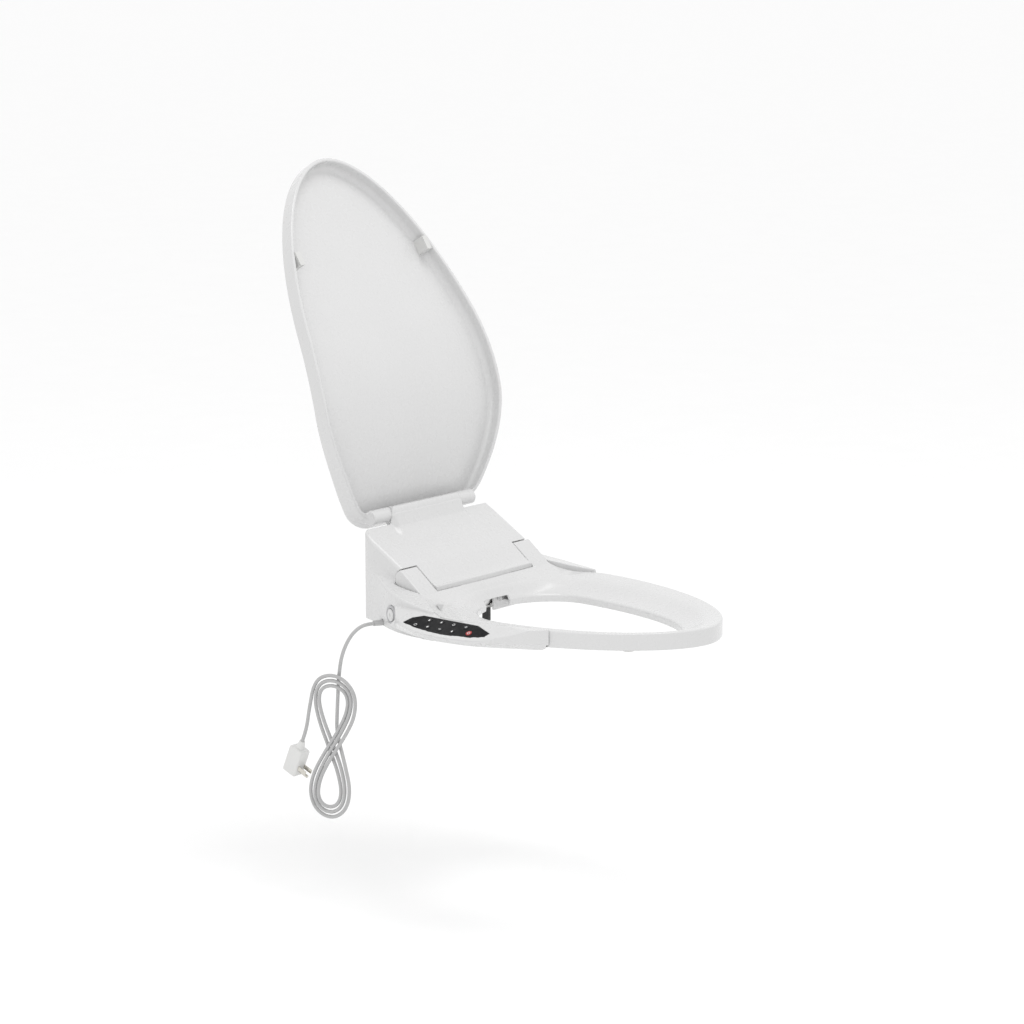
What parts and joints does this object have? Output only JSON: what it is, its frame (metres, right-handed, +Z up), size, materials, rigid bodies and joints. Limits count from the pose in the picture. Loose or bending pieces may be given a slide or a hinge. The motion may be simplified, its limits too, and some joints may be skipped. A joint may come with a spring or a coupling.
{
  "type": "electric bidet seat",
  "caption": "Electric bidet seat with a hinged lid, an open ring seat, a rear housing with a side control arm and a mains cord.",
  "frame": {"origin": "midway between the two fixing bolts, on the flat underside that rests on the bowl", "axes": "+Z up, -Y towards the front of the seat, -X towards the side with the control arm"},
  "size_m": [0.4332, 0.7547, 0.9578],
  "materials": {
    "white_shell": "smooth moulded gloss",
    "grey_tray": "fine matte",
    "soft_rubber": "matte",
    "anchor_rubber": "matte",
    "foil": "satin",
    "pin_plastic": "satin",
    "damper_plastic": "matte",
    "black_gloss": "mirror gloss",
    "key_cap": "gloss with pale marks",
    "power_key": "gloss",
    "circuit_board": "satin solder mask",
    "steel": "satin",
    "bezel": "satin",
    "wand_white": "gloss",
    "motor_metal": "satin",
    "tank_plastic": "translucent satin",
    "hose": "matte",
    "cord_sheath": "matte sheath",
    "plug_white": "satin",
    "plug_metal": "bright nickel"
  },
  "bodies": {
    "housing": {"arm_bottom_cover": "grey_tray", "board_pillars": "tank_plastic", "cord_hank": "cord_sheath", "cord_lead": "cord_sheath", "deodoriser_filter": "tank_plastic", "fan_case": "damper_plastic", "fan_motor": "motor_metal", "fixing_bolts": "steel", "fixing_washers": "steel", "front_wand_motor": "motor_metal", "housing_pads": "soft_rubber", "housing_screws": "steel", "inlet_valve": "tank_plastic", "key_mat": "anchor_rubber", "lid_dampers": "damper_plastic", "lower_housing": "grey_tray", "main_board": "circuit_board", "mounting_plate": "steel", "panel_board": "circuit_board", "panel_overlay": "black_gloss", "plug_blades": "plug_metal", "plug_body": "plug_white", "plug_lead": "cord_sheath", "rear_wand_motor": "motor_metal", "release_bezel": "bezel", "rubber_anchors": "anchor_rubber", "seat_dampers": "damper_plastic", "strain_relief": "cord_sheath", "supply_hose": "hose", "tank_heater": "steel", "upper_housing": "white_shell", "wand_cradle": "grey_tray", "water_inlet": "tank_plastic", "water_tank": "tank_plastic"},
    "seat": {"seat_bottom_shell": "white_shell", "seat_buffers": "soft_rubber", "seat_hinge_pins": "pin_plastic", "seat_top_shell": "white_shell", "seat_warming_foil": "foil"},
    "lid": {"lid_buffers": "soft_rubber", "lid_hinge_pins": "pin_plastic", "lid_shell": "white_shell"},
    "rear_wand": {"rear_wand": "wand_white", "rear_wand_tip": "wand_white"},
    "front_wand": {"front_wand": "wand_white", "front_wand_tip": "wand_white"},
    "rear_pinion": {"rear_pinion": "pin_plastic"},
    "front_pinion": {"front_pinion": "pin_plastic"},
    "fan_wheel": {"fan_wheel": "damper_plastic"},
    "release_button": {"release_button": "white_shell"},
    "key_dryer": {"key_dryer": "key_cap"},
    "key_front_wash": {"key_front_wash": "key_cap"},
    "key_light": {"key_light": "key_cap"},
    "key_power": {"key_power": "power_key"},
    "key_pressure_down": {"key_pressure_down": "key_cap"},
    "key_pressure_up": {"key_pressure_up": "key_cap"},
    "key_rear_wash": {"key_rear_wash": "key_cap"},
    "key_warm_seat": {"key_warm_seat": "key_cap"},
    "key_water_heat": {"key_water_heat": "key_cap"}
  },
  "joints": [
    {"name": "lid_hinge", "type": "hinge", "parent": "housing", "child": "lid", "pos_m": [0, 0.07, 0.147], "axis": [-1, 0, 0], "range_deg": [-121, 0]},
    {"name": "seat_hinge", "type": "hinge", "parent": "housing", "child": "seat", "pos_m": [0, -0.0231, 0.0721], "axis": [-1, 0, 0], "range_deg": [0, 105]},
    {"name": "rear_wand_slide", "type": "slide", "parent": "housing", "child": "rear_wand", "axis": [0, -0.8829, -0.4695], "range_m": [0, 0.065]},
    {"name": "front_wand_slide", "type": "slide", "parent": "housing", "child": "front_wand", "axis": [0, -0.8829, -0.4695], "range_m": [0, 0.065]},
    {"name": "rear_pinion_spin", "type": "hinge", "parent": "housing", "child": "rear_pinion", "pos_m": [-0.011, -0.03032, 0.04259], "axis": [-1, 0, 0], "range_deg": [0, 625]},
    {"name": "front_pinion_spin", "type": "hinge", "parent": "housing", "child": "front_pinion", "pos_m": [0.011, -0.03032, 0.04259], "axis": [-1, 0, 0], "range_deg": [0, 625]},
    {"name": "fan_spin", "type": "hinge", "parent": "housing", "child": "fan_wheel", "pos_m": [0.084, -0.002, 0.02], "axis": [0, 0, 1], "continuous": true},
    {"name": "release_press", "type": "slide", "parent": "housing", "child": "release_button", "axis": [0.9386, -0.3449, 0], "range_m": [0, 0.004], "stiffness_N_per_m": 400, "springref_m": -0.003},
    {"name": "dryer_press", "type": "slide", "parent": "housing", "child": "key_dryer", "axis": [0.4587, 0, -0.8886], "range_m": [0, 0.0008], "stiffness_N_per_m": 1500, "springref_m": -0.0006},
    {"name": "front_wash_press", "type": "slide", "parent": "housing", "child": "key_front_wash", "axis": [0.4587, 0, -0.8886], "range_m": [0, 0.0008], "stiffness_N_per_m": 1500, "springref_m": -0.0006},
    {"name": "light_press", "type": "slide", "parent": "housing", "child": "key_light", "axis": [0.4587, 0, -0.8886], "range_m": [0, 0.0008], "stiffness_N_per_m": 1500, "springref_m": -0.0006},
    {"name": "power_press", "type": "slide", "parent": "housing", "child": "key_power", "axis": [0.4587, 0, -0.8886], "range_m": [0, 0.0008], "stiffness_N_per_m": 1500, "springref_m": -0.0006},
    {"name": "pressure_down_press", "type": "slide", "parent": "housing", "child": "key_pressure_down", "axis": [0.4587, 0, -0.8886], "range_m": [0, 0.0008], "stiffness_N_per_m": 1500, "springref_m": -0.0006},
    {"name": "pressure_up_press", "type": "slide", "parent": "housing", "child": "key_pressure_up", "axis": [0.4587, 0, -0.8886], "range_m": [0, 0.0008], "stiffness_N_per_m": 1500, "springref_m": -0.0006},
    {"name": "rear_wash_press", "type": "slide", "parent": "housing", "child": "key_rear_wash", "axis": [0.4587, 0, -0.8886], "range_m": [0, 0.0008], "stiffness_N_per_m": 1500, "springref_m": -0.0006},
    {"name": "warm_seat_press", "type": "slide", "parent": "housing", "child": "key_warm_seat", "axis": [0.4587, 0, -0.8886], "range_m": [0, 0.0008], "stiffness_N_per_m": 1500, "springref_m": -0.0006},
    {"name": "water_heat_press", "type": "slide", "parent": "housing", "child": "key_water_heat", "axis": [0.4587, 0, -0.8886], "range_m": [0, 0.0008], "stiffness_N_per_m": 1500, "springref_m": -0.0006}
  ],
  "couplings": [
    {"joint": "rear_pinion_spin", "follows": "rear_wand_slide", "rad_per_m": 166.67},
    {"joint": "front_pinion_spin", "follows": "front_wand_slide", "rad_per_m": 166.67}
  ]
}
